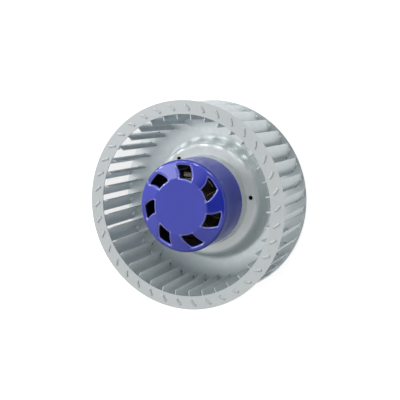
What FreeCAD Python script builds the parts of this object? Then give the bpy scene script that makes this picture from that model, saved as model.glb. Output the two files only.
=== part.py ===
import FreeCAD, Part
import math
import os

# Centrifugal impeller with forward-curved blades, carried on an external-rotor motor.
# Millimetres. The shaft runs along +Z, towards the air inlet.
# The origin is the centre of the face that is bolted down, on which the fan also stands.

# Impeller
impeller_radius = 112.5
impeller_width = 85.0
impeller_setback = 12.0
ring_breadth = 14.6
ring_sheet = 1.0
disc_sheet = 1.0

# Blades, one arc each, held by a tab at either end
blade_count = 38
first_blade_angle = 113.0
blade_sheet = 0.6
blade_tip_margin = 1.7
blade_reach = 5.4
blade_inlet_angle = 95.7
blade_outlet_angle = 8.3
tab_tip_distance = 12.1
tab_length = 8.2
tab_head_height = 1.0
tab_head_width = 2.4
tab_head_rounding = 0.6
notch_length = 2.6
notch_height = 2.0
slot_side_gap = 0.05
slot_end_gap = 0.1
relief_length = 2.6
relief_overlap = 0.5
relief_width = 1.6

# Hub drawn in the back disc
hub_plateau_breadth = 14.1
hub_slope_breadth = 2.1
hub_rise = 23.8
hub_collar_height = 13.2
hub_foot_rounding = 7.0
hub_shoulder_rounding = 6.3
hub_collar_rounding = 1.5
hub_hole_count = 3
hub_hole_radius = 2.5
hub_hole_offset = 4.6
first_hub_hole_angle = 2.5

# Rotor housing, a cup with a coned front and slanted vents
rotor_radius = 50.0
rotor_sheet = 1.5
rotor_front_rise = 7.0
cap_flat_radius = 30.4
cap_cone_drop = 6.4
cap_edge_rounding = 8.0
cap_shoulder_rounding = 4.0
vent_count = 7
vent_rim_breadth = 6.2
vent_flat_gap = 0.7
vent_inner_span = 24.2
vent_outer_span = 19.0
vent_lean = 9.9
vent_side_bow = 1.0
first_vent_angle = 29.7
vent_corner_rounding = 1.2
vent_edge_rounding = 2.8
vent_rim_depth = 3.8
vent_rim_wall = 1.5

# Rotor iron and cage
rotor_core_breadth = 9.7
cage_bar_count = 20
cage_bar_width = 3.2
cage_bar_depth = 5.0
cage_bar_cover = 2.2
cage_ring_height = 5.0

# Boss, shaft and bearings
boss_radius = 11.0
boss_flange_radius = 18.0
boss_flange_height = 3.0
shaft_radius = 4.0
shaft_tail = 1.4
shaft_end_gap = 0.2
bush_wall = 4.0
bush_length = 12.0
felt_wall = 2.5
washer_thickness = 0.8
washer_wall = 3.0
circlip_thickness = 0.8
circlip_wall = 2.4
circlip_groove_depth = 0.5
circlip_mouth = 2.6

# Stator
stack_height = 32.0
stack_seat = 34.0
slot_count = 16
slot_floor_radius = 23.0
slot_floor_width = 5.2
slot_top_width = 9.6
slot_mouth_width = 2.2
tooth_tip = 2.0
overhang_height = 14.0
overhang_inner_margin = 0.5
overhang_outer_margin = 1.2
overhang_rounding = 4.0
liner_gap = 0.4
insulator_sheet = 0.8
cutout_length = 13.0
cutout_width = 5.0
cutout_height = 4.0
cutout_rounding = 1.4
cutout_angle = 83.0
cutout_margin = 1.7

# Mounting flange with its bearing tube
flange_inset = 3.0
flange_plate = 12.0
flange_floor = 3.0
flange_chamfer = 0.8
recess_depth = 3.0
rim_breadth = 4.5
centre_land = 4.5
rib_width = 3.0
rib_setback = 0.6
spigot_gap = 2.5
spigot_height = 4.0
spigot_wall = 4.0
housing_rear_gap = 2.5
tube_wall = 4.0
seat_wall = 4.0
seat_foot_wall = 4.0
plug_radius = 9.5
plug_thickness = 1.0
plug_recess = 0.2
bolt_count = 4
bolt_circle_radius = 35.0
bolt_hole_radius = 2.5
bolt_hole_depth = 10.0
bolt_boss_radius = 5.5
first_bolt_angle = 45.0
cable_hole_radius = 2.6
grommet_wall = 1.2
grommet_collar_wall = 1.2
grommet_collar_thickness = 1.5
cable_angle = 270.0

# Clearances
running_gap = 0.03
press_gap = 0.01
air_gap = 0.4
axial_gap = 0.1
washer_gap = 0.3

# Levels along the shaft
disc_rear = impeller_setback
disc_front = disc_rear + disc_sheet
ring_front = disc_rear + impeller_width
ring_rear = ring_front - ring_sheet
hub_top = disc_front + hub_rise
collar_top = hub_top + hub_collar_height
housing_front = ring_front + rotor_front_rise
housing_rear = flange_plate + housing_rear_gap
housing_inside = housing_front - rotor_sheet
stack_top = stack_seat + stack_height
plug_front = plug_recess + plug_thickness
shaft_low = plug_front + axial_gap
shaft_high = housing_inside - shaft_end_gap
circlip_low = shaft_low + shaft_tail
circlip_high = circlip_low + circlip_thickness
rear_washer_low = circlip_high + axial_gap
rear_bush_low = rear_washer_low + washer_thickness + axial_gap
rear_bush_high = rear_bush_low + bush_length
spigot_top = flange_plate + spigot_height
floor_top = recess_depth + flange_floor
front_overhang_low = stack_top + insulator_sheet
front_overhang_high = front_overhang_low + overhang_height
rear_overhang_high = stack_seat - insulator_sheet
rear_overhang_low = rear_overhang_high - overhang_height
tube_top = front_overhang_high + axial_gap
front_bush_low = tube_top - bush_length
front_washer_low = tube_top + axial_gap
boss_low = front_washer_low + washer_thickness + axial_gap

# Radii
ring_opening_radius = impeller_radius - ring_breadth
blade_inner_radius = ring_opening_radius - blade_reach
blade_tip_radius = impeller_radius - blade_tip_margin
housing_bore = rotor_radius - rotor_sheet
rotor_core_radius = housing_bore - press_gap
rotor_bore = rotor_core_radius - rotor_core_breadth
stator_radius = rotor_bore - air_gap
bush_bore = shaft_radius + running_gap
bush_radius = bush_bore + bush_wall
tube_bore = bush_radius + press_gap
tube_radius = tube_bore + tube_wall
seat_radius = tube_radius + seat_wall
seat_foot_radius = seat_radius + seat_foot_wall
spigot_radius = housing_bore - spigot_gap
pocket_radius = spigot_radius - spigot_wall
flange_radius = rotor_radius - flange_inset
rim_inner_radius = flange_radius - rim_breadth
centre_land_radius = plug_radius + centre_land
cable_hole_distance = (seat_foot_radius + pocket_radius) / 2
vent_outer_radius = rotor_radius - vent_rim_breadth
vent_inner_radius = cap_flat_radius + vent_flat_gap
collar_radius = rotor_radius + press_gap + disc_sheet
hub_shoulder_radius = collar_radius + hub_plateau_breadth
hub_foot_radius = hub_shoulder_radius + hub_slope_breadth
hub_hole_circle_radius = collar_radius + hub_hole_offset
overhang_radius = stator_radius - overhang_outer_margin
overhang_bore = slot_floor_radius - overhang_inner_margin
cutout_inner_radius = overhang_radius - cutout_margin - cutout_width
grommet_radius = cable_hole_radius + grommet_wall

# Blade arc through both radii at both angles
inlet_turn = math.radians(blade_inlet_angle)
outlet_turn = math.radians(blade_outlet_angle)
blade_arc_radius = (blade_tip_radius ** 2 - blade_inner_radius ** 2) / (
    2 * (blade_tip_radius * math.cos(outlet_turn) - blade_inner_radius * math.cos(inlet_turn)))
blade_arc_centre = math.sqrt(blade_tip_radius ** 2 + blade_arc_radius ** 2
                             - 2 * blade_tip_radius * blade_arc_radius * math.cos(outlet_turn))

FULL_TURN = 360.0
OVERCUT = 2.0
UPRIGHT = math.cos(math.radians(25))
origin = FreeCAD.Vector(0, 0, 0)
shaft_axis = FreeCAD.Vector(0, 0, 1)


def rounded_face(corners, radii):
    """A flat face with the given corners, each rounded by its own radius."""
    starts = []
    middles = []
    ends = []
    for index, corner in enumerate(corners):
        back = (corners[index - 1] - corner).normalize()
        ahead = (corners[(index + 1) % len(corners)] - corner).normalize()
        half_turn = (math.pi - back.getAngle(ahead)) / 2
        reach = radii[index] * math.tan(half_turn)
        starts.append(corner + back * reach)
        ends.append(corner + ahead * reach)
        inward = (back + ahead).normalize() if radii[index] else origin
        middles.append(corner + inward * radii[index] * (1 / math.cos(half_turn) - 1))
    edges = []
    for index, radius in enumerate(radii):
        if radius:
            edges.append(Part.Arc(starts[index], middles[index], ends[index]).toShape())
        following = starts[(index + 1) % len(starts)]
        edges.append(Part.makeLine(ends[index], following))
    return Part.Face(Part.Wire(edges))


def profile_point(radius, height):
    """A point of a turned profile."""
    return FreeCAD.Vector(radius, 0, height)


def turned(corners, radii=None):
    """A solid turned about the shaft from a profile of (radius, height) corners."""
    points = [profile_point(radius, height) for radius, height in corners]
    face = rounded_face(points, radii or [0] * len(points))
    return face.revolve(origin, shaft_axis, FULL_TURN)


def tube(inner_radius, outer_radius, low, high):
    """A plain ring about the shaft."""
    return turned([(inner_radius, low), (outer_radius, low), (outer_radius, high), (inner_radius, high)])


def drawn_sheet(corners, radii, sheet):
    """A sheet turned about the shaft, from its front corners, with its thickness on the right of the path."""
    points = [profile_point(radius, height) for radius, height in corners]
    headings = [(after - before).normalize() for before, after in zip(points, points[1:])]
    sides = [FreeCAD.Vector(heading.z, 0, -heading.x) for heading in headings]
    rear_points = []
    rear_radii = []
    for index, point in enumerate(points):
        side_in = sides[max(index - 1, 0)]
        side_out = sides[min(index, len(sides) - 1)]
        rear_points.append(point + (side_in + side_out) * (sheet / (1 + side_in.dot(side_out))))
        turns_inward = side_in.cross(side_out).y > 0
        rounding = radii[index] - sheet if turns_inward else radii[index] + sheet
        rear_radii.append(rounding if radii[index] else 0)
    face = rounded_face(points + rear_points[::-1], radii + rear_radii[::-1])
    return face.revolve(origin, shaft_axis, FULL_TURN)


def spun(shape, angle):
    """A copy of a shape turned about the shaft."""
    copy = shape.copy()
    copy.rotate(origin, shaft_axis, angle)
    return copy


def spread(shape, count, first_angle):
    """Copies of a shape evenly spaced about the shaft."""
    return [spun(shape, first_angle + FULL_TURN * index / count) for index in range(count)]


def post(radius, low, high, distance, angle):
    """A round post parallel to the shaft."""
    solid = Part.makeCylinder(radius, high - low, FreeCAD.Vector(distance, 0, low))
    return spun(solid, angle)


def wedge(inner_radius, inner_width, outer_radius, outer_width, low, high):
    """A straight-sided prism that lies along +X."""
    corners = [FreeCAD.Vector(inner_radius, -inner_width / 2, low),
               FreeCAD.Vector(outer_radius, -outer_width / 2, low),
               FreeCAD.Vector(outer_radius, outer_width / 2, low),
               FreeCAD.Vector(inner_radius, inner_width / 2, low)]
    return rounded_face(corners, [0] * len(corners)).extrude(shaft_axis * (high - low))


def arc_turn(radius):
    """Degrees round the blade's arc, from the line through its centre, where it meets a radius."""
    cosine = radius ** 2 - blade_arc_centre ** 2 - blade_arc_radius ** 2
    cosine /= 2 * blade_arc_centre * blade_arc_radius
    return math.degrees(math.acos(cosine))


def arc_degrees(distance):
    """Degrees of the blade's arc in a distance along it."""
    return math.degrees(distance / blade_arc_radius)


tip_turn = arc_turn(blade_tip_radius)
inner_turn = arc_turn(blade_inner_radius)
tab_turn = tip_turn + arc_degrees(tab_tip_distance)
tab_outer_turn = tab_turn - arc_degrees(tab_length / 2)
tab_inner_turn = tab_turn + arc_degrees(tab_length / 2)
tab_bearing = -math.degrees(math.atan2(
    blade_arc_radius * math.sin(math.radians(tab_turn)),
    blade_arc_centre + blade_arc_radius * math.cos(math.radians(tab_turn))))


def blade_strip(outer_turn, inner_turn_end, width, low, high):
    """A curved strip along the blade's arc, turned so that its tab lies along +X."""
    centre = FreeCAD.Vector(blade_arc_centre, 0, low)
    convex = Part.makeCircle(blade_arc_radius + width / 2, centre, shaft_axis, -inner_turn_end, -outer_turn)
    concave = Part.makeCircle(blade_arc_radius - width / 2, centre, shaft_axis, -inner_turn_end, -outer_turn)
    inner_end = Part.makeLine(convex.Vertexes[0].Point, concave.Vertexes[0].Point)
    outer_end = Part.makeLine(convex.Vertexes[-1].Point, concave.Vertexes[-1].Point)
    face = Part.Face(Part.Wire([convex, outer_end, concave, inner_end]))
    return spun(face.extrude(shaft_axis * (high - low)), -tab_bearing)


def staked_head(seat, crown):
    """The head of a tab, staked over the sheet from its seat to its rounded crown."""
    low = min(seat, crown)
    head = blade_strip(tab_outer_turn, tab_inner_turn, tab_head_width, low, low + tab_head_height)
    crown_edges = [edge for edge in head.Edges if abs(edge.CenterOfMass.z - crown) < tab_head_height / 4]
    return head.makeFillet(tab_head_rounding, crown_edges)


def make_blade():
    """One blade with its two tabs, the heads staked over them and the notches beside them."""
    body = blade_strip(tip_turn, inner_turn, blade_sheet, disc_front, ring_rear)
    notch = arc_degrees(notch_length)
    notch_levels = ((disc_front - OVERCUT, disc_front + notch_height),
                    (ring_rear - notch_height, ring_rear + OVERCUT))
    for low, high in notch_levels:
        outer_notch = blade_strip(tab_outer_turn - notch, tab_outer_turn, 2 * blade_sheet, low, high)
        inner_notch = blade_strip(tab_inner_turn, tab_inner_turn + notch, 2 * blade_sheet, low, high)
        body = body.cut([outer_notch, inner_notch])
    root = (tab_head_height - tab_head_rounding) / 2
    tab = blade_strip(tab_outer_turn, tab_inner_turn, blade_sheet, disc_rear - root, ring_front + root)
    heads = [staked_head(disc_rear, disc_rear - tab_head_height),
             staked_head(ring_front, ring_front + tab_head_height)]
    return body.multiFuse([tab] + heads).removeSplitter()


def tab_slots(low, high):
    """The slots that the blades' tabs pass through."""
    margin = arc_degrees(slot_end_gap)
    width = blade_sheet + 2 * slot_side_gap
    slot = blade_strip(tab_outer_turn - margin, tab_inner_turn + margin, width, low - OVERCUT, high + OVERCUT)
    return spread(slot, blade_count, first_blade_angle)


def make_inlet_ring():
    """The flat ring at the inlet that holds the blades' front ends."""
    ring = tube(ring_opening_radius, impeller_radius, ring_rear, ring_front)
    return ring.cut(tab_slots(ring_rear, ring_front))


def tab_reliefs():
    """The openings in the disc at both ends of every tab."""
    overlap = arc_degrees(relief_overlap)
    reach = arc_degrees(relief_length) - overlap
    reliefs = []
    for start, end in ((tab_outer_turn - reach, tab_outer_turn + overlap),
                       (tab_inner_turn - overlap, tab_inner_turn + reach)):
        opening = blade_strip(start, end, relief_width, disc_rear - OVERCUT, disc_front + OVERCUT)
        upright = [edge for edge in opening.Edges if abs(edge.tangentAt(edge.FirstParameter).z) > UPRIGHT]
        reliefs += spread(opening.makeFillet(relief_width / 3, upright), blade_count, first_blade_angle)
    return reliefs


def make_back_disc():
    """The back disc with its drawn hub, collar, hub holes, tab slots and the openings at their ends."""
    corners = [(collar_radius, collar_top), (collar_radius, hub_top), (hub_shoulder_radius, hub_top),
               (hub_foot_radius, disc_front), (impeller_radius, disc_front)]
    radii = [0, hub_collar_rounding, hub_shoulder_rounding, hub_foot_rounding, 0]
    disc = drawn_sheet(corners, radii, disc_sheet)
    hole = post(hub_hole_radius, disc_rear, collar_top, hub_hole_circle_radius, 0)
    disc = disc.cut(spread(hole, hub_hole_count, first_hub_hole_angle))
    return disc.cut(tab_slots(disc_rear, disc_front) + tab_reliefs())


def polar_point(radius, angle, height):
    """A point at a radius and an angle in degrees about the shaft."""
    bearing = math.radians(angle)
    return FreeCAD.Vector(radius * math.cos(bearing), radius * math.sin(bearing), height)


def bowed_side(inner_corner, outer_corner):
    """A side of a vent, bowed clockwise as seen from the inlet."""
    along = (outer_corner - inner_corner).normalize()
    clockwise = along.cross(shaft_axis)
    middle = (inner_corner + outer_corner) * 0.5 + clockwise * vent_side_bow
    return Part.Arc(inner_corner, middle, outer_corner).toShape()


def vent_window(margin):
    """One vent's window with a margin round it: arcs inside and outside, slanted bowed sides."""
    inner_middle = -vent_lean / 2
    outer_middle = vent_lean / 2
    low = housing_front - cap_cone_drop - rotor_sheet - OVERCUT - cap_shoulder_rounding
    points = []
    for radius, middle, span in ((vent_inner_radius, inner_middle, vent_inner_span),
                                 (vent_outer_radius, outer_middle, vent_outer_span)):
        points.append([polar_point(radius, middle + part * span / 2, low) for part in (-1, 0, 1)])
    inner, outer = points
    edges = [Part.Arc(*inner).toShape(), bowed_side(inner[2], outer[2]),
             Part.Arc(*outer[::-1]).toShape(), bowed_side(inner[0], outer[0])]
    face = Part.Face(Part.Wire(edges))
    if margin:
        face = face.makeOffset2D(margin)
    window = face.extrude(shaft_axis * (housing_front + OVERCUT - low))
    upright = [edge for edge in window.Edges if abs(edge.tangentAt(edge.FirstParameter).z) > UPRIGHT]
    return window if margin else window.makeFillet(vent_corner_rounding, upright)


def front_level(point):
    """The level of the cup's front at a point's distance from the shaft, with sharp corners."""
    outwards = max(math.hypot(point.x, point.y) - cap_flat_radius, 0)
    return housing_front - cap_cone_drop * outwards / (rotor_radius - cap_flat_radius)


def vent_front_edges(cup):
    """The edges of the vents on the cup's front."""
    edges = []
    for face in cup.Faces:
        centre = face.CenterOfMass
        u_low, u_high, v_low, v_high = face.ParameterRange
        sideways = abs(face.normalAt((u_low + u_high) / 2, (v_low + v_high) / 2).z) < 1 - UPRIGHT
        if sideways and math.hypot(centre.x, centre.y) < housing_bore:
            edges += [edge for edge in face.Edges
                      if edge.CenterOfMass.z > front_level(edge.CenterOfMass) - rotor_sheet / 2
                      and abs(edge.tangentAt(edge.FirstParameter).z) < UPRIGHT]
    return edges


def make_rotor_housing():
    """The drawn cup of the rotor, with slanted vents whose rims are rolled inwards."""
    front = [(0, housing_front), (cap_flat_radius, housing_front),
             (rotor_radius, housing_front - cap_cone_drop)]
    cup = drawn_sheet(front + [(rotor_radius, housing_rear)],
                      [0, cap_edge_rounding, cap_shoulder_rounding, 0], rotor_sheet)
    deeper = drawn_sheet(front, [0, cap_edge_rounding, 0], vent_rim_depth)
    wide_windows = spread(vent_window(vent_rim_wall), vent_count, first_vent_angle)
    rims = [deeper.common(window) for window in wide_windows]
    cup = cup.multiFuse(rims).cut(spread(vent_window(0), vent_count, first_vent_angle))
    return cup.makeFillet(vent_edge_rounding, vent_front_edges(cup))


def make_rotor_boss():
    """The turned boss under the cap that holds the shaft."""
    bore = shaft_radius + press_gap
    flange_low = housing_inside - boss_flange_height
    return turned([(bore, boss_low), (boss_radius, boss_low),
                   (boss_radius, flange_low), (boss_flange_radius, flange_low),
                   (boss_flange_radius, housing_inside), (bore, housing_inside)])


def make_shaft():
    """The ground shaft with its circlip groove."""
    groove = shaft_radius - circlip_groove_depth
    return turned([(0, shaft_low), (shaft_radius, shaft_low),
                   (shaft_radius, circlip_low), (groove, circlip_low),
                   (groove, circlip_high), (shaft_radius, circlip_high),
                   (shaft_radius, shaft_high), (0, shaft_high)])


def make_circlip():
    """The open spring ring in the shaft's groove."""
    inner = shaft_radius - circlip_groove_depth + press_gap
    outer = inner + circlip_wall
    ring = tube(inner, outer, circlip_low + press_gap, circlip_high - press_gap)
    mouth = wedge(0, circlip_mouth, outer + OVERCUT, circlip_mouth, circlip_low, circlip_high)
    return ring.cut(mouth)


def cage_bar(low, high):
    """One bar of the rotor cage."""
    inner = rotor_bore + cage_bar_cover
    return wedge(inner, cage_bar_width, inner + cage_bar_depth, cage_bar_width, low, high)


def make_rotor_core():
    """The laminated ring of the rotor with the holes for the cage bars."""
    ring = tube(rotor_bore, rotor_core_radius, stack_seat, stack_top)
    return ring.cut(spread(cage_bar(stack_seat - OVERCUT, stack_top + OVERCUT), cage_bar_count, 0))


def make_rotor_cage():
    """The cast cage: two end rings and the bars between them."""
    margin = (rotor_core_breadth - cage_bar_depth) / 4
    inner = rotor_bore + margin
    outer = rotor_core_radius - margin
    rings = [tube(inner, outer, stack_seat - cage_ring_height, stack_seat),
             tube(inner, outer, stack_top, stack_top + cage_ring_height)]
    bars = spread(cage_bar(stack_seat, stack_top), cage_bar_count, 0)
    return rings[0].multiFuse([rings[1]] + bars).removeSplitter()


def make_bush(low):
    """A sintered bearing bush."""
    return tube(bush_bore, bush_radius, low, low + bush_length)


def make_oil_felt():
    """The felt ring between the bushes that keeps oil for both."""
    outer = tube_bore - press_gap
    return tube(outer - felt_wall, outer, rear_bush_high + axial_gap, front_bush_low - axial_gap)


def make_thrust_washer(low):
    """A thrust washer on the shaft."""
    inner = shaft_radius + washer_gap
    return tube(inner, inner + washer_wall, low, low + washer_thickness)


def slot_cutter(low, high):
    """One stator slot with its narrow mouth."""
    top_radius = stator_radius - tooth_tip
    slot = wedge(slot_floor_radius, slot_floor_width, top_radius, slot_top_width, low, high)
    mouth = wedge(slot_floor_radius, slot_mouth_width, stator_radius + OVERCUT, slot_mouth_width, low, high)
    return slot.fuse(mouth).removeSplitter()


def make_stator_core():
    """The laminated stator stack."""
    core = tube(tube_radius + press_gap, stator_radius, stack_seat, stack_top)
    return core.cut(spread(slot_cutter(stack_seat - OVERCUT, stack_top + OVERCUT), slot_count, 0))


def make_insulator(core_radius, low):
    """The insulating end sheet between the stack and the winding's overhang, round the core it is given."""
    sheet = tube(core_radius + liner_gap, stator_radius - liner_gap, low, low + insulator_sheet)
    return sheet.cut(spread(slot_cutter(low - OVERCUT, low + insulator_sheet + OVERCUT), slot_count, 0))


def make_winding():
    """The wound and bound winding: a bundle in each slot and an overhang ring at each end."""
    front = turned([(overhang_bore, front_overhang_low), (overhang_radius, front_overhang_low),
                    (overhang_radius, front_overhang_high), (overhang_bore, front_overhang_high)],
                   [0, 0, overhang_rounding, overhang_rounding])
    rear = turned([(overhang_bore, rear_overhang_low), (overhang_radius, rear_overhang_low),
                   (overhang_radius, rear_overhang_high), (overhang_bore, rear_overhang_high)],
                  [overhang_rounding, overhang_rounding, 0, 0])
    bundle = wedge(slot_floor_radius + liner_gap, slot_floor_width - 2 * liner_gap,
                   stator_radius - tooth_tip - liner_gap, slot_top_width - 2 * liner_gap,
                   rear_overhang_high - liner_gap, front_overhang_low + liner_gap)
    return front.multiFuse([rear] + spread(bundle, slot_count, 0)).removeSplitter()


def make_thermal_cutout():
    """The sleeved thermal cut-out that lies on the winding."""
    corner = FreeCAD.Vector(cutout_inner_radius, -cutout_length / 2, front_overhang_high)
    block = Part.makeBox(cutout_width, cutout_length, cutout_height, corner)
    lengthwise = [edge for edge in block.Edges if abs(edge.tangentAt(edge.FirstParameter).y) > UPRIGHT]
    return spun(block.makeFillet(cutout_rounding, lengthwise), cutout_angle)


def make_mounting_flange():
    """The cast flange in one piece: ribbed plate, spigot, bolt bosses, stack seat and bearing tube."""
    body = turned([(plug_radius, 0), (centre_land_radius, 0),
                   (centre_land_radius, recess_depth), (rim_inner_radius, recess_depth),
                   (rim_inner_radius, 0), (flange_radius - flange_chamfer, 0),
                   (flange_radius, flange_chamfer), (flange_radius, flange_plate),
                   (spigot_radius, flange_plate), (spigot_radius, spigot_top),
                   (pocket_radius, spigot_top), (pocket_radius, floor_top),
                   (seat_foot_radius, floor_top), (seat_radius, stack_seat),
                   (tube_radius, stack_seat), (tube_radius, tube_top),
                   (tube_bore, tube_top), (tube_bore, rear_bush_low), (plug_radius, rear_bush_low)])
    boss = post(bolt_boss_radius, 0, spigot_top, bolt_circle_radius, 0)
    rib = wedge(plug_radius + centre_land / 2, rib_width, rim_inner_radius + rim_breadth / 2, rib_width,
                rib_setback, floor_top)
    additions = spread(boss, bolt_count, first_bolt_angle) + spread(rib, bolt_count, first_bolt_angle)
    body = body.multiFuse(additions).removeSplitter()
    hole = post(bolt_hole_radius, -OVERCUT, bolt_hole_depth, bolt_circle_radius, 0)
    cable_hole = post(grommet_radius + press_gap, 0, spigot_top, cable_hole_distance, cable_angle)
    return body.cut(spread(hole, bolt_count, first_bolt_angle) + [cable_hole])


def make_cable_grommet():
    """The rubber grommet in the cable hole of the flange, with its collar on the outside."""
    collar_rear = recess_depth - press_gap - grommet_collar_thickness
    collar_front = recess_depth - press_gap
    collar_radius_outside = grommet_radius + grommet_collar_wall
    sleeve = post(grommet_radius, collar_rear, floor_top, cable_hole_distance, cable_angle)
    collar = post(collar_radius_outside, collar_rear, collar_front, cable_hole_distance, cable_angle)
    hole = post(cable_hole_radius, 0, spigot_top, cable_hole_distance, cable_angle)
    return sleeve.fuse(collar).removeSplitter().cut(hole)


def make_rear_plug():
    """The pressed plug that closes the rear of the bearing tube."""
    return tube(0, plug_radius - press_gap, plug_recess, plug_front)


def export(name, shape):
    """Writes one node."""
    shape.exportStep("parts/" + name + ".step")
    solids = len(shape.Solids)
    print(name, "solids", solids, "volume", round(shape.Volume, 1), "valid", shape.isValid())


def main():
    """Builds and writes every piece of the fan."""
    os.makedirs("parts", exist_ok=True)
    for index, blade in enumerate(spread(make_blade(), blade_count, first_blade_angle)):
        export("blade_%02d" % (index + 1), blade)
    export("inlet_ring", make_inlet_ring())
    export("back_disc", make_back_disc())
    export("rotor_housing", make_rotor_housing())
    export("rotor_boss", make_rotor_boss())
    export("rotor_core", make_rotor_core())
    export("rotor_cage", make_rotor_cage())
    export("shaft", make_shaft())
    export("circlip", make_circlip())
    export("mounting_flange", make_mounting_flange())
    export("rear_plug", make_rear_plug())
    export("rear_bush", make_bush(rear_bush_low))
    export("front_bush", make_bush(front_bush_low))
    export("oil_felt", make_oil_felt())
    export("rear_thrust_washer", make_thrust_washer(rear_washer_low))
    export("front_thrust_washer", make_thrust_washer(front_washer_low))
    export("stator_core", make_stator_core())
    export("stator_winding", make_winding())
    export("front_insulator", make_insulator(tube_radius, stack_top))
    export("rear_insulator", make_insulator(seat_radius, stack_seat - insulator_sheet))
    export("thermal_cutout", make_thermal_cutout())
    export("cable_grommet", make_cable_grommet())


main()
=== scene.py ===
import logging
import math
from dataclasses import dataclass, field
from enum import Enum
from typing import Any, Mapping

import bpy
import numpy as np
from mathutils import Matrix, Vector


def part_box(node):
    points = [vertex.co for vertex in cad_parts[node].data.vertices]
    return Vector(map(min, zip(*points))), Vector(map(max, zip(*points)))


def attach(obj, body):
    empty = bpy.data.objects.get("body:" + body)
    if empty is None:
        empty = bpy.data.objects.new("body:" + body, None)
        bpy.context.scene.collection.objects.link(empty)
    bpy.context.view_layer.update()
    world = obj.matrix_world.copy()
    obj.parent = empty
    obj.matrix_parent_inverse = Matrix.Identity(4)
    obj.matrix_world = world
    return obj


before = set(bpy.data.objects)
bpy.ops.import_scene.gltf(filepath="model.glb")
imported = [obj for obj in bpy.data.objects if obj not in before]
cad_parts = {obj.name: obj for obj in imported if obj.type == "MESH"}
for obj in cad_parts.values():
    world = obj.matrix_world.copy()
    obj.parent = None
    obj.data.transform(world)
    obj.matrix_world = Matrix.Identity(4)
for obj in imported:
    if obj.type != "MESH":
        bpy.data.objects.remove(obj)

LOG = logging.getLogger("centrifugal_fan")
Colour = tuple[float, float, float]
Point = tuple[float, float, float]
MILLIMETRE = 0.001
RING_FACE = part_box("inlet_ring")[1].z
CUP_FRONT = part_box("rotor_housing")[1].z
CUP_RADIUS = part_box("rotor_housing")[1].x


class Signal:
    """A socket of a node tree that can stand in sums and products."""

    def __init__(self, bench: "NodeBench", socket: bpy.types.NodeSocket) -> None:
        """Keeps the socket and the bench that it was made on."""
        self.bench = bench
        self.socket = socket

    def __add__(self, other: Any) -> "Signal":
        """This plus other."""
        return self.bench.maths("ADD", self, other)

    def __radd__(self, other: Any) -> "Signal":
        """Other plus this."""
        return self.bench.maths("ADD", other, self)

    def __sub__(self, other: Any) -> "Signal":
        """This minus other."""
        return self.bench.maths("SUBTRACT", self, other)

    def __rsub__(self, other: Any) -> "Signal":
        """Other minus this."""
        return self.bench.maths("SUBTRACT", other, self)

    def __mul__(self, other: Any) -> "Signal":
        """This times other."""
        return self.bench.maths("MULTIPLY", self, other)

    def __rmul__(self, other: Any) -> "Signal":
        """Other times this."""
        return self.bench.maths("MULTIPLY", other, self)

    def __truediv__(self, other: Any) -> "Signal":
        """This divided by other."""
        return self.bench.maths("DIVIDE", self, other)

    def above(self, other: Any) -> "Signal":
        """1 where this is greater than other, and 0 elsewhere."""
        return self.bench.maths("GREATER_THAN", self, other)


@dataclass(frozen=True)
class Ramp:
    """A smooth change from start to end while a value goes from low to high."""

    low: float
    high: float
    start: float = 0.0
    end: float = 1.0


class Ray(Enum):
    """The kinds of ray that the surround and the floor tell apart."""

    EYE = "Is Camera Ray"
    MIRRORED = "Is Glossy Ray"
    THROUGH = "Is Transmission Ray"


class NodeBench:
    """A node tree while it is being made."""

    def __init__(self, tree: bpy.types.NodeTree) -> None:
        """Keeps the tree and clears it."""
        self.tree = tree
        self.tree.nodes.clear()

    def node(self, kind: str, settings: Mapping[str, Any] | None = None,
             sockets: Mapping[str | int, Any] | None = None, result: str | int = 0) -> Signal:
        """Adds any node.

        Args:
            kind: The node's type name.
            settings: Its properties, set first.
            sockets: Values or Signals for its inputs, by name or number.
            result: The output that is wanted, by name or number.

        Returns:
            That output.
        """
        node = self.tree.nodes.new(kind)
        for key, value in (settings or {}).items():
            setattr(node, key, value)
        for key, value in (sockets or {}).items():
            slot = node.inputs[key]
            if isinstance(value, Signal):
                self.tree.links.new(value.socket, slot)
            elif isinstance(value, tuple) and slot.type == "RGBA":
                slot.default_value = (*value, 1.0)
            else:
                slot.default_value = value
        return Signal(self, node.outputs[result])

    def close(self, shader: Signal, kind: str = "ShaderNodeOutputMaterial") -> None:
        """Gives the tree its output node, fed by the shader."""
        self.tree.links.new(shader.socket, self.tree.nodes.new(kind).inputs["Surface"])

    def ray(self, kind: Ray) -> Signal:
        """1 for rays of the given kind, and 0 for others."""
        return self.node("ShaderNodeLightPath", result=kind.value)

    def maths(self, operation: str, first: Any, second: Any = 0.0) -> Signal:
        """The result of a Math node, from numbers or Signals."""
        return self.node("ShaderNodeMath", {"operation": operation}, {0: first, 1: second})

    def vector_maths(self, operation: str, first: Any, second: Any = (0.0, 0.0, 0.0),
                     result: str = "Vector") -> Signal:
        """The result of a Vector Math node, from points or Signals."""
        return self.node("ShaderNodeVectorMath", {"operation": operation}, {0: first, 1: second}, result)

    def cosine(self, towards: Signal, axis: Point) -> Signal:
        """The cosine between a direction and an axis."""
        return self.vector_maths("DOT_PRODUCT", towards, axis, "Value")

    def band(self, value: Signal, ramp: Ramp) -> Signal:
        """Takes a value along a ramp, and holds it at the ends."""
        return self.node("ShaderNodeMapRange", {"clamp": True, "interpolation_type": "SMOOTHSTEP"},
                         {"Value": value, "From Min": ramp.low, "From Max": ramp.high,
                          "To Min": ramp.start, "To Max": ramp.end})

    def mix(self, share: Signal, first: Colour | Signal, second: Colour | Signal) -> Signal:
        """Mixes two colours.

        Args:
            share: The second colour's share.
            first: A colour or Signal.
            second: A colour or Signal.

        Returns:
            The mixed colour.
        """
        share_slot, first_slot, second_slot, mixed = 0, 6, 7, 2
        return self.node("ShaderNodeMix", {"data_type": "RGBA"},
                         {share_slot: share, first_slot: first, second_slot: second}, mixed)


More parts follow.
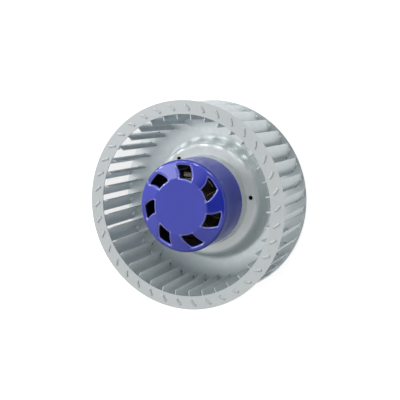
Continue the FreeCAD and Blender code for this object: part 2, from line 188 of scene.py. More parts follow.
class Recipe(NodeBench):
    """A material while it is being made."""

    def __init__(self, name: str) -> None:
        """Makes an empty material.

        Args:
            name: The material's name.
        """
        self.material = bpy.data.materials.new(name)
        self.material.use_nodes = True
        super().__init__(self.material.node_tree)

    def place(self) -> Signal:
        """The point on the piece, in metres."""
        return self.node("ShaderNodeTexCoord", result="Object")

    def radius(self, middle: Point = (0.0, 0.0, 0.0)) -> Signal:
        """The distance from an upright line, which is the root of x squared plus y squared about it.

        Args:
            middle: A point on the line, by default on the shaft's axis.

        Returns:
            The distance in metres.
        """
        offset = self.vector_maths("SUBTRACT", self.place(), middle)
        flat = self.vector_maths("MULTIPLY", offset, (1.0, 1.0, 0.0))
        return self.vector_maths("LENGTH", flat, result="Value")

    def along(self, axis: str) -> Signal:
        """How far the point lies along X, Y or Z, in metres."""
        return self.node("ShaderNodeSeparateXYZ", {}, {"Vector": self.place()}, axis)

    def height(self) -> Signal:
        """The height in metres along the shaft's axis."""
        return self.along("Z")

    def bearing(self) -> Signal:
        """The angle about the shaft's axis from X, in radians."""
        return self.maths("ARCTAN2", self.along("Y"), self.along("X"))

    def noise(self, scale: float, detail: float, stretch: Point = (1.0, 1.0, 1.0)) -> Signal:
        """Smooth noise about 0.5 on the piece.

        Args:
            scale: Features a metre.
            detail: Octaves.
            stretch: A factor for each axis.

        Returns:
            The noise's value.
        """
        stretched = self.node("ShaderNodeMapping", {}, {"Vector": self.place(), "Scale": stretch})
        return self.node("ShaderNodeTexNoise", {"noise_dimensions": "3D"},
                         {"Vector": stretched, "Scale": scale, "Detail": detail}, "Fac")

    def bump(self, height: Signal, depth: float) -> Signal:
        """A normal from a height of 0 to 1 that stands for a depth in metres."""
        return self.node("ShaderNodeBump", {}, {"Height": height, "Distance": depth, "Strength": 1.0})

    def surface(self, sockets: Mapping[str, Any]) -> bpy.types.Material:
        """Closes the material with a Principled shader.

        Args:
            sockets: Values or Signals for the shader's inputs.

        Returns:
            The finished material.
        """
        self.close(self.node("ShaderNodeBsdfPrincipled", {}, sockets))
        return self.material


@dataclass(frozen=True)
class ZincSheet:
    """Bright galvanised sheet steel with a fine spangle, and a duller skin where the hub was drawn.

    Its zones are ramps over the radius in metres.
    """

    name: str
    light: Colour
    dark: Colour
    roughness: float
    metallic: float
    margin_share: float = 0.0
    margin: Colour = (0.60, 0.645, 0.66)
    margin_zone: Ramp = Ramp(0.078, 0.098)
    # Tone of the drawn hub, lifted with the disc's middle as painted light.
    lifted_hub: Colour = (0.83, 0.86, 0.85)
    # Darker foot of the hub: painted shade that dims the glints on it.
    foot: Colour = (0.70, 0.74, 0.74)
    foot_zone: Ramp = Ramp(0.067, 0.070)
    drawn_zone: Ramp = Ramp(0.070, 0.076, 1.0, 0.0)
    drawn_roughness: float = 0.53
    plateau_zone: Ramp = Ramp(0.0605, 0.0635, 1.0, 0.0)
    slope_zone: Ramp = Ramp(0.067, 0.071, 1.0, 0.0)
    slope_fall: float = 0.11
    slope_metallic: float = 0.14
    # Darker tab heads above the ring: painted shade that dims their glints.
    head_shade: Colour = (0.47, 0.50, 0.51)
    staked_height: float = RING_FACE + 0.0001
    spangles: float = 230.0
    spangle_share: float = 0.3
    clouds: tuple[float, float] = (28.0, 4.0)
    grain: tuple[float, float] = (900.0, 3.0)
    tones: Ramp = Ramp(0.2, 0.8)
    spangle_gloss: float = 0.03
    cloud_gloss: float = 0.08
    relief_shares: tuple[float, float, float] = (0.3, 0.4, 0.3)
    relief_depth: float = 0.000004

    def _colour(self, recipe: Recipe, shade: Signal) -> Signal:
        """The sheet's colour: two tones, a middle lightened as painted light inside a darker margin, the
        drawn hub with painted shade on its foot, and the tab heads in painted shade.

        Args:
            recipe: The material that is being made.
            shade: The share of the darker tone, about 0.5.

        Returns:
            The colour.
        """
        radius = recipe.radius()
        plain = recipe.mix(recipe.band(shade, self.tones), self.light, self.dark)
        # Where the margin is used, the middle inside it is lighter: painted light against the shade in the
        # drum.
        edged = recipe.mix(recipe.band(radius, self.margin_zone) * self.margin_share, plain, self.margin)
        # The hub's foot is darker: painted shade that dims its glints.
        hub = recipe.mix(recipe.band(radius, self.foot_zone), self.lifted_hub, self.foot)
        sheet = recipe.mix(recipe.band(radius, self.drawn_zone), edged, hub)
        # Painted shade on the tab heads above the ring, dimming their glints.
        return recipe.mix(recipe.height().above(self.staked_height), sheet, self.head_shade)

    def material(self) -> bpy.types.Material:
        """Spangle from cells, faint clouds and fine grain, with the hub's slope smoother than its rest.

        Returns:
            The finished material.
        """
        recipe = Recipe(self.name)
        cells = recipe.node("ShaderNodeTexVoronoi", {"feature": "F1", "voronoi_dimensions": "3D"},
                            {"Vector": recipe.place(), "Scale": self.spangles}, "Color")
        tone = recipe.node("ShaderNodeSeparateColor", {}, {"Color": cells}, "Red")
        cloud = recipe.noise(*self.clouds)
        fine = recipe.noise(*self.grain)
        radius = recipe.radius()
        drawn = recipe.band(radius, self.drawn_zone)
        slope = recipe.band(radius, self.slope_zone) - recipe.band(radius, self.plateau_zone)
        skin = self.roughness - drawn * (self.roughness - self.drawn_roughness) - slope * self.slope_fall
        rough = skin + (tone - 0.5) * self.spangle_gloss + (cloud - 0.5) * self.cloud_gloss
        relief = sum(part * share for part, share in zip((tone, fine, cloud), self.relief_shares))
        shade = tone * self.spangle_share + cloud * (1.0 - self.spangle_share)
        return recipe.surface({"Base Color": self._colour(recipe, shade),
                               "Metallic": self.metallic + slope * self.slope_metallic,
                               "Roughness": rough,
                               "Normal": recipe.bump(relief, self.relief_depth)})


@dataclass(frozen=True)
class GlossPaint:
    """Glossy blue paint on the drawn rotor cup.

    The coat and the painted shade at the rear edge are ramps over the height, and the painted shade on the
    vent walls and the painted highlight along the lip are ramps over the distance from a vent's outline
    and from the crest of its rolled rim, all in metres.
    """

    name: str = "rotor_gloss"
    light: Colour = (0.019, 0.034, 0.475)
    dark: Colour = (0.015, 0.028, 0.435)
    # Light blue along the vents' rolled rims: a painted highlight.
    rim_highlight: Colour = (0.19, 0.21, 0.64)
    # Near black on the vent walls, inside the cup and below the hub: painted shade.
    hollow_shade: Colour = (0.014, 0.013, 0.022)
    roughness: float = 0.34
    metallic: float = 0.1
    specular: float = 0.1
    coat: Ramp = Ramp(CUP_FRONT - 0.020, CUP_FRONT - 0.012, 0.46, 1.0)
    coat_roughness: float = 0.10
    coat_index: float = 1.62
    bore: float = CUP_RADIUS - 0.001
    front_height: float = CUP_FRONT - 0.0095
    rear_edge: Ramp = Ramp(0.036, 0.040, 1.0, 0.0)
    vents: int = 7
    vent_start: float = math.radians(29.7)
    vent_radii: tuple[float, float] = (0.0311, 0.0438)
    vent_halves: tuple[float, float] = (math.radians(12.1), math.radians(9.5))
    vent_lean: float = math.radians(9.9)
    vent_bow: float = 0.001
    wall: Ramp = Ramp(0.0, 0.0006, 1.0, 0.0)
    lip_offset: float = 0.0013
    lip: Ramp = Ramp(0.0, 0.0012, 1.0, 0.0)
    clouds: tuple[float, float] = (35.0, 2.0)
    tones: Ramp = Ramp(0.3, 0.7)
    cloud_gloss: float = 0.08
    peel: tuple[float, float] = (420.0, 1.0)
    peel_depth: float = 0.00003

    def _outside_vents(self, recipe: Recipe) -> Signal:
        """The distance in metres from a vent's outline, negative inside it.

        A vent lies between two radii. At the share t of the way out its middle is at the angle
        lean * (t - 1/2) - 4 t (1 - t) * bow / radius, and its half width falls evenly from inside to
        outside. The distance is the largest of those beyond the two arcs and the two sides.

        Args:
            recipe: The material that is being made.

        Returns:
            The distance.
        """
        pitch = math.tau / self.vents
        turns = (recipe.bearing() - self.vent_start) / pitch + (self.vents + 0.5)
        angle = (recipe.maths("FRACT", turns) - 0.5) * pitch
        radius = recipe.radius()
        inner, outer = self.vent_radii
        share = recipe.node("ShaderNodeMapRange", {"clamp": True},
                            {"Value": radius, "From Min": inner, "From Max": outer})
        middle = (share - 0.5) * self.vent_lean - share * (1.0 - share) * 4.0 * self.vent_bow / radius
        half = self.vent_halves[0] - share * (self.vent_halves[0] - self.vent_halves[1])
        beside = (recipe.maths("ABSOLUTE", angle - middle) - half) * radius
        beyond = recipe.maths("MAXIMUM", inner - radius, radius - outer)
        return recipe.maths("MAXIMUM", beyond, beside)

    def _colour(self, recipe: Recipe, cloud: Signal) -> Signal:
        """The paint's colour: a painted highlight along the vents' rolled rims, and painted shade, near
        black, on their walls, inside the cup and on its part below the hub.

        Args:
            recipe: The material that is being made.
            cloud: The share of the darker tone, about 0.5.

        Returns:
            The colour.
        """
        height = recipe.height()
        front = height.above(self.front_height)
        distance = self._outside_vents(recipe)
        from_lip = recipe.maths("ABSOLUTE", distance - self.lip_offset)
        walls = recipe.band(distance, self.wall) * front
        within = (self.bore - recipe.radius()).above(0.0) * (1.0 - front)
        paint = recipe.mix(recipe.band(cloud, self.tones), self.light, self.dark)
        # A painted highlight along the crest of each vent's rolled rim.
        rimmed = recipe.mix(recipe.band(from_lip, self.lip) * front, paint, self.rim_highlight)
        # Painted shade, near black, on the vent walls and inside the cup.
        hollow = recipe.mix(walls + within, rimmed, self.hollow_shade)
        # Painted shade, near black, on the cup below the hub.
        return recipe.mix(recipe.band(height, self.rear_edge), hollow, self.hollow_shade)

    def material(self) -> bpy.types.Material:
        """Slight clouds under a clear skin, which is thinner on the cup's side.

        Returns:
            The finished material.
        """
        recipe = Recipe(self.name)
        cloud = recipe.noise(*self.clouds)
        return recipe.surface({"Base Color": self._colour(recipe, cloud),
                               "Roughness": self.roughness + (cloud - 0.5) * self.cloud_gloss,
                               "Metallic": self.metallic, "Specular IOR Level": self.specular,
                               "Coat Weight": recipe.band(recipe.height(), self.coat),
                               "Coat Roughness": self.coat_roughness, "Coat IOR": self.coat_index,
                               "Normal": recipe.bump(recipe.noise(*self.peel), self.peel_depth)})


@dataclass(frozen=True)
class PlainFinish:
    """A simple finish with fine grain, clouds and its own gloss."""

    name: str
    light: Colour
    dark: Colour
    metallic: float
    roughness: float
    grain: float = 700.0
    depth: float = 0.00005
    stretch: Point = (1.0, 1.0, 1.0)
    grain_detail: float = 3.0
    clouds: tuple[float, float] = (60.0, 4.0)
    tones: Ramp = Ramp(0.3, 0.7)
    grain_gloss: float = 0.16
    cloud_gloss: float = 0.10

    def material(self) -> bpy.types.Material:
        """Two tones mixed by noise, with the grain in colour, gloss and height.

        Returns:
            The finished material.
        """
        recipe = Recipe(self.name)
        cloud = recipe.noise(*self.clouds)
        grain = recipe.noise(self.grain, self.grain_detail, self.stretch)
        colour = recipe.mix(recipe.band((cloud + grain) * 0.5, self.tones), self.light, self.dark)
        rough = self.roughness + (grain - 0.5) * self.grain_gloss + (cloud - 0.5) * self.cloud_gloss
        return recipe.surface({"Base Color": colour, "Metallic": self.metallic, "Roughness": rough,
                               "Normal": recipe.bump(grain, self.depth)})


class Finish(Enum):
    """The finishes of the fan's pieces."""

    RING_ZINC = ZincSheet("zinc_ring", (0.545, 0.575, 0.585), (0.52, 0.55, 0.56), 0.30, 0.84)
    BLADE_ZINC = ZincSheet("zinc_blades", (0.73, 0.78, 0.79), (0.67, 0.72, 0.73), 0.53, 0.78)
    # The disc's middle is lighter than its margin and than the ring: painted light against the shade deep
    # in the drum.
    DISC_ZINC = ZincSheet("zinc_disc", (0.85, 0.91, 0.925), (0.79, 0.845, 0.86), 0.36, 0.82,
                          margin_share=1.0)
    GLOSS = GlossPaint()
    CASTING = PlainFinish("die_cast", (0.56, 0.57, 0.58), (0.42, 0.43, 0.44), 1.0, 0.5, 500.0, 0.00012)
    TURNED = PlainFinish("turned_aluminium", (0.62, 0.62, 0.63), (0.5, 0.5, 0.51), 1.0, 0.3,
                         300.0, 0.00002, (1.0, 1.0, 12.0))
    LAMINATIONS = PlainFinish("laminations", (0.2, 0.2, 0.21), (0.09, 0.09, 0.1), 1.0, 0.45,
                              160.0, 0.0001, (0.05, 0.05, 12.0))
    GROUND = PlainFinish("ground_steel", (0.6, 0.6, 0.6), (0.5, 0.5, 0.5), 1.0, 0.2,
                         300.0, 0.00001, (1.0, 1.0, 10.0))
    SPRING = PlainFinish("spring_steel", (0.1, 0.1, 0.11), (0.06, 0.06, 0.065), 1.0, 0.4)
    PLATED = PlainFinish("plated_steel", (0.55, 0.56, 0.57), (0.45, 0.46, 0.47), 1.0, 0.3)
    BRONZE = PlainFinish("sintered_bronze", (0.42, 0.27, 0.13), (0.3, 0.18, 0.08), 1.0, 0.5, 1500.0)
    FELT = PlainFinish("felt", (0.5, 0.44, 0.33), (0.36, 0.31, 0.22), 0.0, 0.95, 1600.0, 0.0003)
    WASHER = PlainFinish("washer_plastic", (0.75, 0.74, 0.7), (0.68, 0.67, 0.62), 0.0, 0.45)
    # Near black: painted shade on the rotor's cage, which shows only through the vents.
    VARNISH = PlainFinish("cage_painted_shade", (0.020, 0.019, 0.021), (0.009, 0.008, 0.010), 0.0, 0.55,
                          300.0)
    # Dark brown varnished wire, made darker still as painted shade inside the cup.
    WIRE = PlainFinish("varnished_wire_and_shade", (0.045, 0.026, 0.016), (0.018, 0.011, 0.008), 0.0, 0.6,
                       260.0, 0.0003, (1.0, 1.0, 5.0))
    LINER = PlainFinish("insulating_sheet", (0.55, 0.48, 0.34), (0.45, 0.39, 0.27), 0.0, 0.6)
    LACING = PlainFinish("lacing_cord", (0.30, 0.26, 0.19), (0.2, 0.17, 0.12), 0.0, 0.8, 1800.0, 0.0002)
    SLEEVE = PlainFinish("cutout_sleeve", (0.95, 0.92, 0.82), (0.90, 0.86, 0.75), 0.0, 0.4)
    RUBBER = PlainFinish("grommet_rubber", (0.03, 0.03, 0.032), (0.018, 0.018, 0.02), 0.0, 0.65,
                         900.0, 0.00006)


def around(radius: np.ndarray | float, angle: np.ndarray, height: np.ndarray | float) -> np.ndarray:
    """Points from their radius, angle and height about the shaft, on a last axis of three."""
    return np.stack(np.broadcast_arrays(radius * np.cos(angle), radius * np.sin(angle), height), axis=-1)


@dataclass
class Strands:
    """Round strands along given paths, joined into one piece.

    A point of a strand is P + r * (cos a * N + sin a * B), where P is on the path, N is the path's
    normal, B is the tangent crossed with N, and a goes once round.
    """

    name: str
    thickness: float
    sides: int = 6
    closed: bool = True

    def _surface(self, paths: np.ndarray, normals: np.ndarray) -> np.ndarray:
        """Works out the points round every path.

        Args:
            paths: Points, as strands by steps by three.
            normals: A rough normal at each of them.

        Returns:
            The points, as strands by steps by sides by three.
        """
        ends = np.roll(paths, -1, 1) - np.roll(paths, 1, 1) if self.closed else np.gradient(paths, axis=1)
        tangent = ends / np.linalg.norm(ends, axis=-1, keepdims=True)
        normal = normals - tangent * np.sum(normals * tangent, -1, keepdims=True)
        normal = normal / np.linalg.norm(normal, axis=-1, keepdims=True)
        side = np.cross(tangent, normal)
        turn = np.arange(self.sides) / self.sides * math.tau
        ring = normal[:, :, None] * np.cos(turn)[:, None] + side[:, :, None] * np.sin(turn)[:, None]
        return paths[:, :, None] + ring * self.thickness / 2

    def _faces(self, strands: int, steps: int) -> list[list[int]]:
        """Joins each ring of points to the next, and caps both ends of an open strand.

        Args:
            strands: How many strands there are.
            steps: How many rings of points each has.

        Returns:
            The faces, as lists of point numbers.
        """
        number = np.arange(strands * steps * self.sides).reshape(strands, steps, self.sides)
        ahead = np.roll(number, -1, 1)
        first, second = (number, ahead) if self.closed else (number[:, :-1], ahead[:, :-1])
        quads = [first, np.roll(first, -1, 2), np.roll(second, -1, 2), second]
        faces = np.stack(quads, -1).reshape(-1, 4).tolist()
        if not self.closed:
            faces += number[:, 0, ::-1].tolist() + number[:, -1].tolist()
        return faces

    def build(self, paths: np.ndarray, normals: np.ndarray, material: bpy.types.Material,
              body: str) -> None:
        """Makes the piece.

        Args:
            paths: Points, as strands by steps by three.
            normals: A rough normal at each of them.
            material: Its material.
            body: The body that it rides on.
        """
        points = self._surface(paths, normals).reshape(-1, 3).tolist()
        mesh = bpy.data.meshes.new(self.name)
        mesh.from_pydata(points, [], self._faces(*paths.shape[:2]))
        mesh.polygons.foreach_set("use_smooth", np.ones(len(mesh.polygons), bool))
        mesh.materials.append(material)
        piece = bpy.data.objects.new(self.name, mesh)
        bpy.context.scene.collection.objects.link(piece)
        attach(piece, body)
        LOG.info("%s made of %d strands", self.name, len(paths))


class Workshop:
    """Hands out each finish's material once."""

    def __init__(self) -> None:
        """Starts with no material made."""
        self.made: dict[Finish, bpy.types.Material] = {}

    def material(self, finish: Finish) -> bpy.types.Material:
        """Makes the finish's material at its first use.

        Args:
            finish: The finish that is wanted.

        Returns:
            Its material.
        """
        if finish not in self.made:
            self.made[finish] = finish.value.material()
        return self.made[finish]

    def dress(self, finishes: Mapping[str, Finish]) -> None:
        """Gives carried-over nodes their finishes.

        Args:
            finishes: What each node is made of, by its name.
        """
        for name, finish in finishes.items():
            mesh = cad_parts[name].data
            mesh.materials.clear()
            mesh.materials.append(self.material(finish))
            LOG.info("%s dressed in %s", name, finish.value.name)


@dataclass
class Impeller:
    """The drum of blades between the inlet ring and the back disc."""

    blade_count: int = 38
    rims: Mapping[str, Finish] = field(default_factory=lambda: {
        "inlet_ring": Finish.RING_ZINC,
        "back_disc": Finish.DISC_ZINC,
    })

    def build(self, workshop: Workshop) -> None:
        """Dresses the blades, the ring and the disc.

        Args:
            workshop: Where the materials come from.
        """
        blades = ["blade_%02d" % (index + 1) for index in range(self.blade_count)]
        workshop.dress(dict.fromkeys(blades, Finish.BLADE_ZINC))
        workshop.dress(self.rims)


@dataclass
class Rotor:
    """The outer rotor with its boss, core, cage and shaft."""

    finishes: Mapping[str, Finish] = field(default_factory=lambda: {
        "rotor_housing": Finish.GLOSS,
        "rotor_boss": Finish.TURNED,
        # The cage is dressed near black as painted shade.
        "rotor_cage": Finish.VARNISH,
        "rotor_core": Finish.LAMINATIONS,
        "shaft": Finish.GROUND,
        "circlip": Finish.SPRING,
    })

    def build(self, workshop: Workshop) -> None:
        """Dresses the rotor's nodes."""
        workshop.dress(self.finishes)


@dataclass
class Stator:
    """The flange, the bearings and the wound stack with its wires.

    The bundle is the wound ring's front overhang, whose corners are a radius and a height in metres.
    """

    finishes: Mapping[str, Finish] = field(default_factory=lambda: {
        "mounting_flange": Finish.CASTING,
        "rear_plug": Finish.PLATED,
        "rear_bush": Finish.BRONZE,
        "front_bush": Finish.BRONZE,
        "oil_felt": Finish.FELT,
        "rear_thrust_washer": Finish.WASHER,
        "front_thrust_washer": Finish.WASHER,
        "stator_core": Finish.LAMINATIONS,
        "stator_winding": Finish.WIRE,
        "front_insulator": Finish.LINER,
        "rear_insulator": Finish.LINER,
        "thermal_cutout": Finish.SLEEVE,
        "cable_grommet": Finish.RUBBER,
    })
    bundle_low: tuple[float, float] = (0.0226, 0.0660)
    bundle_high: tuple[float, float] = (0.0372, 0.0809)
    bundle_power: float = 4.0
    slots: int = 16
    wires: int = 52
    wire_thickness: float = 0.00105
    wire_steps: int = 144
    wire_bulge: float = 0.0002
    bulge_lag: float = 2.4
    wire_stray: float = 0.00012
    wire_rise: float = 0.0001
    wire_sink: float = 0.0004
    stray_waves: float = 5.0
    stray_lag: float = 2.4
    ties: int = 15
    tie_thickness: float = 0.0011
    tie_steps: int = 48
    tie_lean: float = 0.03
    tie_proud: float = 0.0003
    tie_rise: float = 0.0002
    sleeve_angle: float = math.radians(83.0)
    lead_thickness: float = 0.0011
    lead_sides: int = 8
    lead_steps: int = 6
    lead_routes: tuple[tuple[Point, ...], ...] = (
        ((33.0, -5.0, 82.9), (33.0, -7.5, 82.9), (32.4, -9.8, 82.6), (30.2, -10.6, 82.4),
         (28.3, -8.0, 82.2), (27.9, -3.5, 82.1), (27.9, 1.0, 82.0), (28.2, 4.6, 81.7),
         (28.9, 6.4, 80.9), (29.6, 7.2, 79.6)),
        ((34.0, -5.0, 83.0), (34.2, -8.0, 82.9), (34.0, -11.0, 82.5), (33.0, -14.5, 82.2),
         (31.6, -17.6, 82.0), (29.6, -20.6, 81.9), (27.2, -23.2, 81.8), (24.6, -25.2, 81.3),
         (22.4, -26.4, 80.4), (20.8, -27.0, 79.0)),
    )

    def build(self, workshop: Workshop) -> None:
        """Dresses the stator's nodes, and makes the wires, lacing and leads that show through the vents.

        Args:
            workshop: Where the materials come from.
        """
        workshop.dress(self.finishes)
        self._wires(workshop.material(Finish.WIRE))
        self._ties(workshop.material(Finish.LACING))
        self._leads(workshop.material(Finish.SLEEVE))

    def _bundle(self, turn: np.ndarray) -> tuple[np.ndarray, np.ndarray]:
        """The rounded square section of the wound ring, as a superellipse.

        Along either axis the point is the middle plus the half size times sign(w) * |w| ** (2 / power),
        where w is the cosine of the turn across and its sine along the shaft.

        Args:
            turn: Turns round the section, of any shape.

        Returns:
            The radii and the heights.
        """
        waves = np.stack([np.cos(turn * math.tau), np.sin(turn * math.tau)])
        shaped = np.sign(waves) * np.abs(waves) ** (2.0 / self.bundle_power)
        low, high = np.array(self.bundle_low), np.array(self.bundle_high)
        across, along = ((low + high)[axis] / 2 + (high - low)[axis] / 2 * shaped[axis] for axis in (0, 1))
        return across, along

    def _bundle_middle(self, angle: np.ndarray) -> np.ndarray:
        """The points of the wound ring's middle circle at the given angles."""
        radius, height = (np.array(self.bundle_low) + np.array(self.bundle_high)) / 2
        return around(radius, angle, height)

    def _wires(self, material: bpy.types.Material) -> None:
        """Wires round the bundle: wire k is at turn k / wires + angle / tau, and bulges over each slot.

        Args:
            material: The wires' material.
        """
        angle = np.linspace(0.0, math.tau, self.wire_steps, endpoint=False)[None, :]
        wire = np.arange(self.wires)[:, None]
        turn = wire / self.wires + angle / math.tau
        radius, height = self._bundle(turn)
        bulge = np.cos(self.slots * angle + self.bulge_lag * np.sin(turn * math.tau))
        stray = np.sin(self.stray_waves * angle + self.stray_lag * wire)
        paths = around(radius + self.wire_bulge * bulge + self.wire_stray * stray, angle,
                       height - self.wire_sink + self.wire_rise * stray)
        Strands("overhang_wires", self.wire_thickness).build(
            paths, paths - self._bundle_middle(angle), material, "stator")

    def _ties(self, material: bpy.types.Material) -> None:
        """Loops of lacing round the bundle, evenly spread from the cut-out on.

        Loop k is at the angle of the cut-out plus tau * (k + 1/2) / ties, and leans by the sine of its
        turn round the section.

        Args:
            material: The lacing's material.
        """
        spread = self.sleeve_angle + (np.arange(self.ties) + 0.5) / self.ties * math.tau
        turn = np.linspace(0.0, 1.0, self.tie_steps, endpoint=False)[None, :]
        radius, height = self._bundle(turn)
        proud = self.tie_proud * np.sign(radius - np.mean(radius))
        angle = spread[:, None] + self.tie_lean * np.sin(turn * math.tau)
        paths = around(radius + proud, angle, height + self.tie_rise)
        Strands("lacing", self.tie_thickness).build(
            paths, paths - self._bundle_middle(angle), material, "stator")

    def _leads(self, material: bpy.types.Material) -> None:
        """The cut-out's two leads: uniform cubic B-splines whose control points are the routes.

        A route's points are millimetres outwards, sideways and up in the cut-out's own directions. At
        the share u of a step the spline is the sum of four control points with the weights
        (1 - u)^3 / 6, (3 u^3 - 6 u^2 + 4) / 6, (-3 u^3 + 3 u^2 + 3 u + 1) / 6 and u^3 / 6.

        Args:
            material: The leads' material.
        """
        outwards = np.array([math.cos(self.sleeve_angle), math.sin(self.sleeve_angle), 0.0])
        up = np.array([0.0, 0.0, 1.0])
        points = np.array(self.lead_routes) * MILLIMETRE @ np.stack([outwards, np.cross(up, outwards), up])
        share = np.linspace(0.0, 1.0, self.lead_steps, endpoint=False)
        weights = np.stack([(1 - share) ** 3, 3 * share ** 3 - 6 * share ** 2 + 4,
                            -3 * share ** 3 + 3 * share ** 2 + 3 * share + 1, share ** 3], -1) / 6
        windows = np.stack([points[:, step:points.shape[1] - 3 + step] for step in range(4)], 2)
        paths = np.einsum("uw,spwx->spux", weights, windows).reshape(len(points), -1, 3)
        Strands("cutout_leads", self.lead_thickness, self.lead_sides, False).build(
            paths, np.broadcast_to(up, paths.shape), material, "stator")


@dataclass(frozen=True)
class Softbox:
    """A flat lamp that stands far off, so that it lights the whole fan evenly."""

    name: str
    direction: Point
    width: float
    height: float
    radiance: float
    distance: float = 3.5

    def build(self, target: Vector) -> None:
        """Sets the lamp. Its power is the radiance of its face times pi times its area.

        Args:
            target: The point that it faces.
        """
        data = bpy.data.lights.new(self.name, "AREA")
        data.shape = "RECTANGLE"
        data.size = self.width
        data.size_y = self.height
        data.energy = self.radiance * math.pi * self.width * self.height
        lamp = bpy.data.objects.new(self.name, data)
        bpy.context.scene.collection.objects.link(lamp)
        towards = Vector(self.direction).normalized()
        lamp.location = target + towards * self.distance
        lamp.rotation_euler = towards.to_track_quat("Z", "Y").to_euler()


@dataclass
class Camera:
    """The photograph's view, square to the given axes."""

    lens: float = 65.38
    sensor_width: float = 36.0
    reach: tuple[float, float] = (0.01, 50.0)
    place: Point = (0.32308, 0.09752, 0.79369)
    right: Point = (0.91834, -0.03897, -0.39388)
    up: Point = (-0.01103, 0.99224, -0.12389)
    back: Point = (0.39564, 0.11811, 0.91078)

    def build(self) -> None:
        """Places the camera and makes it the scene's own."""
        data = bpy.data.cameras.new("camera")
        data.lens = self.lens
        data.sensor_width = self.sensor_width
        data.clip_start, data.clip_end = self.reach
        camera = bpy.data.objects.new("camera", data)
        bpy.context.scene.collection.objects.link(camera)
        turn = Matrix((self.right, self.up, self.back)).transposed().to_4x4()
        camera.matrix_world = Matrix.Translation(Vector(self.place)) @ turn
        bpy.context.scene.camera = camera


@dataclass
class Surround:
    """White to the eye, white with a dark lens in mirrors, and a softer light from one side.

    The ramps run over the cosine between a direction and their axis. The photograph's upper side lies
    along Y, and the shaft along Z.
    """

    lens_axis: Point
    lens_zone: Ramp = Ramp(math.cos(math.radians(34.0)), math.cos(math.radians(17.0)), 1.0, 0.06)
    upper_axis: Point = (0.0, 1.0, 0.0)
    lower_side: Ramp = Ramp(-0.95, -0.35, 0.58, 1.0)
    upper_side: Ramp = Ramp(-0.3, 0.3, 1.0, 0.9)
    shaft_axis: Point = (0.0, 0.0, 1.0)
    horizon: Ramp = Ramp(0.0, 0.35, 0.75, 1.0)
    lit_axis: Point = (-0.6, 0.2, 0.77)
    lit_side: Ramp = Ramp(-0.6, 0.9, 0.45, 1.25)
    ambient: float = 0.31

    def build(self) -> None:
        """Makes the world: 1 to the eye, a product of ramps in mirrors, and one soft ramp as light."""
        world = bpy.data.worlds.new("surround")
        bpy.context.scene.world = world
        world.use_nodes = True
        bench = NodeBench(world.node_tree)
        seen, glossy, through = (bench.ray(kind) for kind in Ray)
        towards = bench.node("ShaderNodeTexCoord", result="Generated")
        upper = bench.cosine(towards, self.upper_axis)
        lens = bench.band(bench.cosine(towards, self.lens_axis), self.lens_zone)
        sides = bench.band(upper, self.lower_side) * bench.band(upper, self.upper_side)
        mirrored = glossy * lens * sides * bench.band(bench.cosine(towards, self.shaft_axis), self.horizon)
        soft = bench.band(bench.cosine(towards, self.lit_axis), self.lit_side) * self.ambient
        strength = seen + through + mirrored + (1.0 - seen - glossy - through) * soft
        white = bench.node("ShaderNodeBackground", {}, {"Color": (1.0, 1.0, 1.0), "Strength": strength})
        bench.close(white, "ShaderNodeOutputWorld")


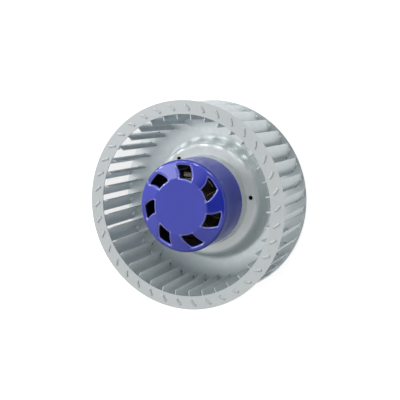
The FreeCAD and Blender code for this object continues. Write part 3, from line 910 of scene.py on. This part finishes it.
@dataclass
class Floor:
    """A white sheet that keeps the fan's shadow, with painted shade right under the disc and behind the
    ring.
    """

    size: float = 6.0
    drop: float = 0.0004
    paper: Colour = (0.62, 0.62, 0.62)
    shadowed: Colour = (0.03, 0.03, 0.03)
    glow: float = 0.72
    seen_glow: float = 1.15
    mirrored_glow: float = 0.68
    dark_middle: Point = (-0.0052, -0.0016, 0.0)
    dark_zone: Ramp = Ramp(0.103, 0.1145)
    dim_middle: Point = (-0.0449, -0.0136, 0.0)
    dim_zone: Ramp = Ramp(0.107, 0.1275, 0.61, 1.0)

    def _material(self) -> bpy.types.Material:
        """White paper with a glow, less of both in the two round zones of painted shade.

        Returns:
            The finished material.
        """
        recipe = Recipe("floor_white")
        rays = recipe.ray(Ray.EYE) * self.seen_glow + recipe.ray(Ray.MIRRORED) * self.mirrored_glow
        # Two round zones of painted shade: dark under the disc, dimmer behind the ring.
        clear = recipe.band(recipe.radius(self.dark_middle), self.dark_zone)
        clear = clear * recipe.band(recipe.radius(self.dim_middle), self.dim_zone)
        paper = recipe.node("ShaderNodeBsdfDiffuse", {},
                            {"Color": recipe.mix(clear, self.shadowed, self.paper)})
        strength = (rays + recipe.ray(Ray.THROUGH)) * clear * self.glow
        glow = recipe.node("ShaderNodeEmission", {}, {"Color": (1.0, 1.0, 1.0), "Strength": strength})
        recipe.close(recipe.node("ShaderNodeAddShader", {}, {0: paper, 1: glow}))
        return recipe.material

    def build(self) -> None:
        """Lays a flat square: each corner is half the size from the middle along X and Y."""
        signs = np.array([(-1, -1), (1, -1), (1, 1), (-1, 1)], float)
        points = np.column_stack([signs * self.size / 2, np.full(len(signs), -self.drop)])
        mesh = bpy.data.meshes.new("floor")
        mesh.from_pydata(points.tolist(), [], [(0, 1, 2, 3)])
        mesh.materials.append(self._material())
        floor = bpy.data.objects.new("floor", mesh)
        bpy.context.scene.collection.objects.link(floor)


@dataclass
class Studio:
    """The camera, the white surround, the floor and the lamps."""

    camera: Camera = field(default_factory=Camera)
    floor: Floor = field(default_factory=Floor)
    target: Point = (0.0, 0.0, 0.05)
    lamps: tuple[Softbox, ...] = (
        Softbox("key", (-0.62, 0.36, 0.70), 1.40, 1.40, 2.8),
        Softbox("rim", (0.30, 0.64, 0.71), 0.40, 0.36, 36.0),
        Softbox("top", (-0.06, 0.76, 0.65), 0.36, 0.36, 38.0),
        Softbox("low_top", (-0.40, 0.78, 0.48), 0.90, 0.28, 32.0),
        Softbox("low_left", (-0.80, 0.50, 0.33), 0.70, 0.28, 38.0),
        Softbox("far_left", (-0.93, 0.27, 0.25), 0.40, 0.28, 38.0),
    )

    def build(self) -> None:
        """Builds the whole studio."""
        self.camera.build()
        Surround(self.camera.back).build()
        self.floor.build()
        for lamp in self.lamps:
            lamp.build(Vector(self.target))
            LOG.info("lamp %s set", lamp.name)
        bpy.context.scene.view_settings.view_transform = "Standard"


def main() -> None:
    """Builds the fan's looks and the studio."""
    logging.basicConfig(level=logging.INFO, format="%(message)s")
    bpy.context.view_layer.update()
    workshop = Workshop()
    for assembly in (Impeller(), Rotor(), Stator()):
        assembly.build(workshop)
        LOG.info("%s done", type(assembly).__name__)
    Studio().build()


if __name__ == "__main__":
    main()
